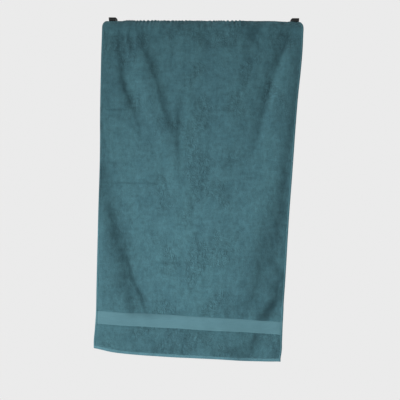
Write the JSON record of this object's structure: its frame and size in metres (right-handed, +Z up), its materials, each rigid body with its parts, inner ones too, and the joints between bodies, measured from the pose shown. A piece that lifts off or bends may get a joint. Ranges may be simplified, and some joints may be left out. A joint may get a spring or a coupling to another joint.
{
  "type": "bath towel",
  "caption": "Terry bath towel folded over a horizontal rail, with woven border bands and stitched hems, held at its corners by small spring clamps.",
  "frame": {"origin": "on the axis of the rail that the towel hangs over, at the middle of the towel's width", "axes": "+X along the rail, to the right as seen from the front; +Y away from the viewer; +Z up"},
  "size_m": [0.7193, 0.1689, 1.1909],
  "materials": {
    "terry": "cotton loop pile, deep teal, matt",
    "dobby": "flat-woven border, lighter teal, faint cross ribs",
    "hem": "turned and stitched cotton edge",
    "thread": "polyester sewing thread",
    "clamp_nylon": "black moulded nylon, fine grain",
    "clamp_rubber": "black soft moulded pad",
    "clamp_steel": "plain bright steel"
  },
  "bodies": {
    "rail_wrap": {"crest_terry": "terry", "left_crest_side_hem": "hem", "right_crest_side_hem": "hem", "back_terry": "terry", "back_dobby_band": "dobby", "back_end_terry": "terry", "back_end_hem": "hem", "back_hem_stitching": "thread", "left_back_side_hem": "hem", "right_back_side_hem": "hem", "left_upper_arm": "clamp_nylon", "left_upper_pad": "clamp_rubber", "left_pivot_pin": "clamp_steel", "left_torsion_spring": "clamp_steel", "right_upper_arm": "clamp_nylon", "right_upper_pad": "clamp_rubber", "right_pivot_pin": "clamp_steel", "right_torsion_spring": "clamp_steel"},
    "front_drop": {"front_terry": "terry", "front_dobby_band": "dobby", "front_end_terry": "terry", "front_end_hem": "hem", "front_hem_stitching": "thread", "left_front_side_hem": "hem", "right_front_side_hem": "hem"},
    "left_lower_jaw": {"left_lower_arm": "clamp_nylon", "left_lower_pad": "clamp_rubber"},
    "right_lower_jaw": {"right_lower_arm": "clamp_nylon", "right_lower_pad": "clamp_rubber"}
  },
  "joints": [
    {"name": "front_swing", "type": "hinge", "parent": "rail_wrap", "child": "front_drop", "pos_m": [0, -0.0285, 0], "axis": [-1, 0, 0], "range_deg": [0, 35]},
    {"name": "left_clamp_opening", "type": "hinge", "parent": "rail_wrap", "child": "left_lower_jaw", "pos_m": [-0.318, 0.06, 0], "axis": [1, 0, 0], "range_deg": [0, 25], "stiffness_Nm_per_rad": 1.2, "springref_deg": -45.84, "deforming": ["left_torsion_spring"]},
    {"name": "right_clamp_opening", "type": "hinge", "parent": "rail_wrap", "child": "right_lower_jaw", "pos_m": [0.318, 0.06, 0], "axis": [1, 0, 0], "range_deg": [0, 25], "stiffness_Nm_per_rad": 1.2, "springref_deg": -45.84, "deforming": ["right_torsion_spring"]}
  ]
}
